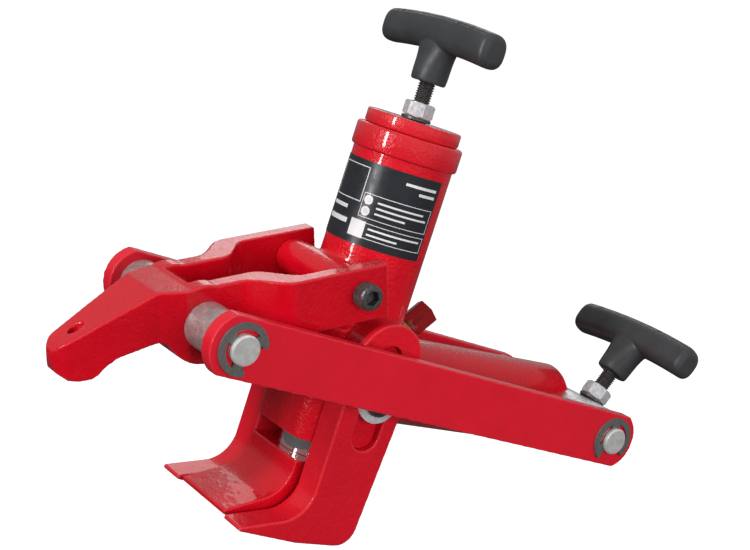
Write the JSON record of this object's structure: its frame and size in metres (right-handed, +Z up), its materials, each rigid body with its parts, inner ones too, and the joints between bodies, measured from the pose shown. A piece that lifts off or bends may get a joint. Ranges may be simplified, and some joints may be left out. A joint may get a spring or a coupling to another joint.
{
  "type": "bead breaker",
  "caption": "Hydraulic bead breaker: a push cylinder with a curved foot between two toed shoes, and a hooked claw drawn shut by side links from a clamp cylinder.",
  "frame": {"origin": "on the push cylinder's axis at the sole plane, which is the flat underside of the push foot and shoes", "axes": "+Z up along the push axis, +X along the clamp cylinder away from the claw, +Y to the right-hand side"},
  "size_m": [0.4721, 0.1761, 0.3635],
  "materials": {
    "red_enamel": "gloss",
    "claw_enamel": "gloss over a cast surface",
    "machined_steel": "ground",
    "chromed_rod": "polished",
    "zinc_plate": "satin",
    "black_oxide": "satin",
    "phosphated_clip": "satin",
    "spring_steel": "satin",
    "grip_plastic": "matt",
    "label_film": "satin",
    "gland_bronze": "machined",
    "adapter_brass": "machined",
    "seal_rubber": "matt",
    "cap_plastic": "gloss"
  },
  "bodies": {
    "frame": {"push_cylinder": "red_enamel", "locking_collar": "red_enamel", "end_cap": "red_enamel", "end_cap_oring": "seal_rubber", "data_label": "label_film", "top_stud": "black_oxide", "top_lock_washer": "black_oxide", "top_nut": "zinc_plate", "top_handle": "grip_plastic", "left_shoe": "red_enamel", "right_shoe": "red_enamel", "shoe_washers": "zinc_plate", "shoe_bolts": "black_oxide", "rod_gland": "gland_bronze", "rod_wiper": "seal_rubber", "claw_pivot_bolts": "black_oxide", "clamp_cylinder": "red_enamel", "clamp_gland": "gland_bronze", "clamp_wiper": "seal_rubber", "inlet_adapter": "adapter_brass", "push_return_spring": "spring_steel", "clamp_return_spring": "spring_steel"},
    "push_ram": {"push_rod": "chromed_rod", "push_piston": "machined_steel", "push_piston_seal": "seal_rubber", "foot_stud": "black_oxide", "push_foot": "red_enamel"},
    "claw": {"claw": "claw_enamel"},
    "links": {"front_pin": "machined_steel", "left_spacer": "machined_steel", "right_spacer": "machined_steel", "left_link": "red_enamel", "right_link": "red_enamel", "front_pin_clips": "phosphated_clip", "rear_pin": "machined_steel", "rear_pin_clips": "phosphated_clip"},
    "clamp_ram": {"clamp_piston": "machined_steel", "clamp_piston_seal": "seal_rubber", "clamp_rod": "chromed_rod", "crosshead": "zinc_plate", "rear_stud": "black_oxide", "rear_lock_washer": "black_oxide", "rear_nut": "zinc_plate", "rear_handle": "grip_plastic"},
    "dust_cap": {"dust_cap": "cap_plastic"}
  },
  "joints": [
    {"name": "claw_pivot", "type": "hinge", "parent": "frame", "child": "claw", "pos_m": [-0.0366, 0, 0.1748], "axis": [0, -1, 0], "range_deg": [0, 34], "stiffness_Nm_per_rad": 8, "springref_deg": -68.75},
    {"name": "link_pivot", "type": "hinge", "parent": "claw", "child": "links", "pos_m": [-0.1315, 0, 0.131], "axis": [0, -1, 0], "range_deg": [-26.37, 0]},
    {"name": "clamp_slide", "type": "slide", "parent": "frame", "child": "clamp_ram", "axis": [1, 0, 0], "range_m": [0, 0.04062], "deforming": ["clamp_return_spring"]},
    {"name": "push_slide", "type": "slide", "parent": "frame", "child": "push_ram", "axis": [0, 0, -1], "range_m": [0, 0.07], "stiffness_N_per_m": 1500, "springref_m": -0.1, "deforming": ["push_return_spring"]},
    {"name": "dust_cap_slide", "type": "slide", "parent": "frame", "child": "dust_cap", "axis": [0.6639, 0, 0.7478], "range_m": [0, 0.06]}
  ],
  "couplings": [
    {"joint": "link_pivot", "follows": "claw_pivot", "ratio": -0.7752},
    {"joint": "clamp_slide", "follows": "claw_pivot", "m_per_rad": 0.06844}
  ]
}
